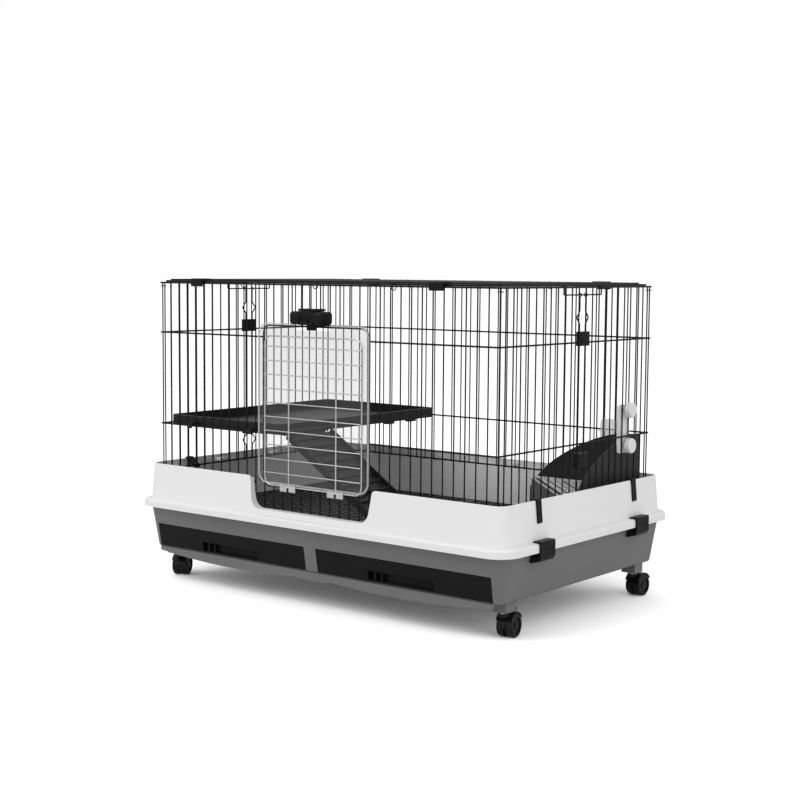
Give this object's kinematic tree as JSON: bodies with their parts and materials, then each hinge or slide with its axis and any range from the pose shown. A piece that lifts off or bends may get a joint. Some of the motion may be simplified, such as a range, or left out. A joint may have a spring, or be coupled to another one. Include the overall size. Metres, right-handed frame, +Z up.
{
  "type": "rabbit cage",
  "caption": "Small-animal wire cage on castors with a front door, top hatch, shelf, ramp, corner litter pan and pull-out drawers.",
  "frame": {"origin": "middle of the footprint on the floor that the castors stand on", "axes": "+X along the length to the litter pan end, -Y out of the door, +Z up"},
  "size_m": [0.8212, 0.518, 0.5482],
  "materials": {
    "base_grey": "fine satin",
    "pan_grey": "satin",
    "shell_white": "satin gloss",
    "trim_white": "satin",
    "black_plastic": "satin",
    "black_wire": "powder coat",
    "chrome_wire": "bright plating",
    "clear_sheet": "clear",
    "clear_hook": "translucent"
  },
  "bodies": {
    "cage": {"base_tray": "base_grey", "surround": "shell_white", "floor_grate_left": "black_plastic", "floor_grate_right": "black_plastic", "clip_brackets": "black_plastic", "panel_front": "black_wire", "door_ring": "black_wire", "panel_back": "black_wire", "panel_left": "black_wire", "panel_right": "black_wire", "top_panel": "black_wire", "panel_rings": "black_wire", "hatch_hinge_clips": "black_plastic", "end_tie_left": "black_wire", "end_tie_right": "black_wire", "latch_body": "black_plastic", "shelf": "black_plastic", "litter_pan": "pan_grey", "splash_guard": "black_plastic", "clamp_plate": "trim_white", "pan_hook": "clear_hook"},
    "drawer_left": {"drawer_left": "black_plastic"},
    "drawer_right": {"drawer_right": "black_plastic"},
    "door": {"door_cover": "clear_sheet", "door_grille": "chrome_wire", "door_hinge_clips": "chrome_wire"},
    "latch_slider": {"latch_slider": "black_plastic"},
    "hatch": {"top_hatch": "black_wire"},
    "hatch_clip_left": {"hatch_clip_left": "black_plastic"},
    "hatch_clip_right": {"hatch_clip_right": "black_plastic"},
    "ramp": {"ramp": "black_plastic"},
    "litter_grid": {"litter_grid": "trim_white"},
    "knob_lower": {"knob_lower": "trim_white"},
    "knob_upper": {"knob_upper": "trim_white"},
    "base_clip_front_left": {"base_clip_front_left": "black_plastic"},
    "strap_hook_front_left": {"strap_hook_front_left": "black_plastic"},
    "base_clip_front_right": {"base_clip_front_right": "black_plastic"},
    "strap_hook_front_right": {"strap_hook_front_right": "black_plastic"},
    "base_clip_back_left": {"base_clip_back_left": "black_plastic"},
    "strap_hook_back_left": {"strap_hook_back_left": "black_plastic"},
    "base_clip_back_right": {"base_clip_back_right": "black_plastic"},
    "strap_hook_back_right": {"strap_hook_back_right": "black_plastic"},
    "slider_upper_left": {"slider_upper_left": "black_plastic"},
    "slider_lower_left": {"slider_lower_left": "black_plastic"},
    "slider_upper_right": {"slider_upper_right": "black_plastic"},
    "slider_lower_right": {"slider_lower_right": "black_plastic"},
    "castor_front_left": {"castor_hood_front_left": "black_plastic", "castor_stem_front_left": "chrome_wire"},
    "castor_wheels_front_left": {"castor_wheels_front_left": "black_plastic"},
    "brake_lever_front_left": {"brake_lever_front_left": "black_plastic"},
    "castor_front_right": {"castor_hood_front_right": "black_plastic", "castor_stem_front_right": "chrome_wire"},
    "castor_wheels_front_right": {"castor_wheels_front_right": "black_plastic"},
    "brake_lever_front_right": {"brake_lever_front_right": "black_plastic"},
    "castor_back_left": {"castor_hood_back_left": "black_plastic", "castor_stem_back_left": "chrome_wire"},
    "castor_wheels_back_left": {"castor_wheels_back_left": "black_plastic"},
    "castor_back_right": {"castor_hood_back_right": "black_plastic", "castor_stem_back_right": "chrome_wire"},
    "castor_wheels_back_right": {"castor_wheels_back_right": "black_plastic"}
  },
  "joints": [
    {"name": "drawer_slide_left", "type": "slide", "parent": "cage", "child": "drawer_left", "axis": [0, -1, 0], "range_m": [0, 0.4]},
    {"name": "drawer_slide_right", "type": "slide", "parent": "cage", "child": "drawer_right", "axis": [0, -1, 0], "range_m": [0, 0.4]},
    {"name": "door_hinge", "type": "hinge", "parent": "cage", "child": "door", "pos_m": [0, -0.228, 0.197], "axis": [1, 0, 0], "range_deg": [0, 95]},
    {"name": "latch_slide", "type": "slide", "parent": "cage", "child": "latch_slider", "axis": [0, 0, 1], "range_m": [0, 0.008], "stiffness_N_per_m": 200, "springref_m": -0.002},
    {"name": "hatch_hinge", "type": "hinge", "parent": "cage", "child": "hatch", "pos_m": [0, 0.204, 0.54305], "axis": [-1, 0, 0], "range_deg": [0, 100]},
    {"name": "hatch_clip_hinge_left", "type": "hinge", "parent": "hatch", "child": "hatch_clip_left", "pos_m": [-0.27486, -0.204, 0.54305], "axis": [-1, 0, 0], "range_deg": [0, 100]},
    {"name": "hatch_clip_hinge_right", "type": "hinge", "parent": "hatch", "child": "hatch_clip_right", "pos_m": [0.25371, -0.204, 0.54305], "axis": [-1, 0, 0], "range_deg": [0, 100]},
    {"name": "base_clip_front_left_hinge", "type": "hinge", "parent": "cage", "child": "base_clip_front_left", "pos_m": [-0.4005, -0.147, 0.125], "axis": [0, -1, 0], "range_deg": [0, 90]},
    {"name": "strap_hook_front_left_hinge", "type": "hinge", "parent": "cage", "child": "strap_hook_front_left", "pos_m": [-0.37, -0.146, 0.2005], "axis": [0, 1, 0], "range_deg": [0, 37]},
    {"name": "base_clip_front_right_hinge", "type": "hinge", "parent": "cage", "child": "base_clip_front_right", "pos_m": [0.4005, -0.147, 0.125], "axis": [0, 1, 0], "range_deg": [0, 90]},
    {"name": "strap_hook_front_right_hinge", "type": "hinge", "parent": "cage", "child": "strap_hook_front_right", "pos_m": [0.37, -0.146, 0.2005], "axis": [0, -1, 0], "range_deg": [0, 37]},
    {"name": "base_clip_back_left_hinge", "type": "hinge", "parent": "cage", "child": "base_clip_back_left", "pos_m": [-0.4005, 0.147, 0.125], "axis": [0, -1, 0], "range_deg": [0, 90]},
    {"name": "strap_hook_back_left_hinge", "type": "hinge", "parent": "cage", "child": "strap_hook_back_left", "pos_m": [-0.37, 0.146, 0.2005], "axis": [0, 1, 0], "range_deg": [0, 37]},
    {"name": "base_clip_back_right_hinge", "type": "hinge", "parent": "cage", "child": "base_clip_back_right", "pos_m": [0.4005, 0.147, 0.125], "axis": [0, 1, 0], "range_deg": [0, 90]},
    {"name": "strap_hook_back_right_hinge", "type": "hinge", "parent": "cage", "child": "strap_hook_back_right", "pos_m": [0.37, 0.146, 0.2005], "axis": [0, -1, 0], "range_deg": [0, 37]},
    {"name": "slider_upper_left_slide", "type": "slide", "parent": "cage", "child": "slider_upper_left", "axis": [0, 0, 1], "range_m": [0, 0.011]},
    {"name": "slider_lower_left_slide", "type": "slide", "parent": "cage", "child": "slider_lower_left", "axis": [0, 0, 1], "range_m": [0, 0.01]},
    {"name": "slider_upper_right_slide", "type": "slide", "parent": "cage", "child": "slider_upper_right", "axis": [0, 0, 1], "range_m": [0, 0.011]},
    {"name": "slider_lower_right_slide", "type": "slide", "parent": "cage", "child": "slider_lower_right", "axis": [0, 0, 1], "range_m": [0, 0.01]},
    {"name": "castor_front_left_swivel", "type": "hinge", "parent": "cage", "child": "castor_front_left", "pos_m": [-0.363, -0.197, 0.05], "axis": [0, 0, 1], "continuous": true},
    {"name": "castor_wheels_front_left_roll", "type": "hinge", "parent": "castor_front_left", "child": "castor_wheels_front_left", "pos_m": [-0.37195, -0.17912, 0.0185], "axis": [0.8942, 0.4478, 0], "continuous": true},
    {"name": "brake_lever_front_left_hinge", "type": "hinge", "parent": "castor_front_left", "child": "brake_lever_front_left", "pos_m": [-0.37128, -0.18046, 0.042], "axis": [-0.8942, -0.4478, 0], "range_deg": [0, 7]},
    {"name": "castor_front_right_swivel", "type": "hinge", "parent": "cage", "child": "castor_front_right", "pos_m": [0.363, -0.197, 0.05], "axis": [0, 0, 1], "continuous": true},
    {"name": "castor_wheels_front_right_roll", "type": "hinge", "parent": "castor_front_right", "child": "castor_wheels_front_right", "pos_m": [0.36001, -0.17722, 0.0185], "axis": [0.9888, 0.1495, 0], "continuous": true},
    {"name": "brake_lever_front_right_hinge", "type": "hinge", "parent": "castor_front_right", "child": "brake_lever_front_right", "pos_m": [0.36023, -0.17871, 0.042], "axis": [-0.9888, -0.1495, 0], "range_deg": [0, 7]},
    {"name": "castor_back_left_swivel", "type": "hinge", "parent": "cage", "child": "castor_back_left", "pos_m": [-0.363, 0.197, 0.05], "axis": [0, 0, 1], "continuous": true},
    {"name": "castor_wheels_back_left_roll", "type": "hinge", "parent": "castor_back_left", "child": "castor_wheels_back_left", "pos_m": [-0.36818, 0.21632, 0.0185], "axis": [0.9659, 0.2588, 0], "continuous": true},
    {"name": "castor_back_right_swivel", "type": "hinge", "parent": "cage", "child": "castor_back_right", "pos_m": [0.363, 0.197, 0.05], "axis": [0, 0, 1], "continuous": true},
    {"name": "castor_wheels_back_right_roll", "type": "hinge", "parent": "castor_back_right", "child": "castor_wheels_back_right", "pos_m": [0.36349, 0.21699, 0.0185], "axis": [0.9997, -0.0244, 0], "continuous": true},
    {"name": "ramp_hinge", "type": "hinge", "parent": "cage", "child": "ramp", "pos_m": [-0.0815, -0.1605, 0.287], "axis": [0, -1, 0], "range_deg": [0, 60]},
    {"name": "litter_grid_lift", "type": "slide", "parent": "cage", "child": "litter_grid", "axis": [0, 0, 1], "range_m": [0, 0.085]},
    {"name": "knob_lower_turn", "type": "hinge", "parent": "cage", "child": "knob_lower", "pos_m": [0.3786, 0.1555, 0.27], "axis": [1, 0, 0], "continuous": true},
    {"name": "knob_upper_turn", "type": "hinge", "parent": "cage", "child": "knob_upper", "pos_m": [0.3786, 0.1555, 0.331], "axis": [1, 0, 0], "continuous": true}
  ]
}
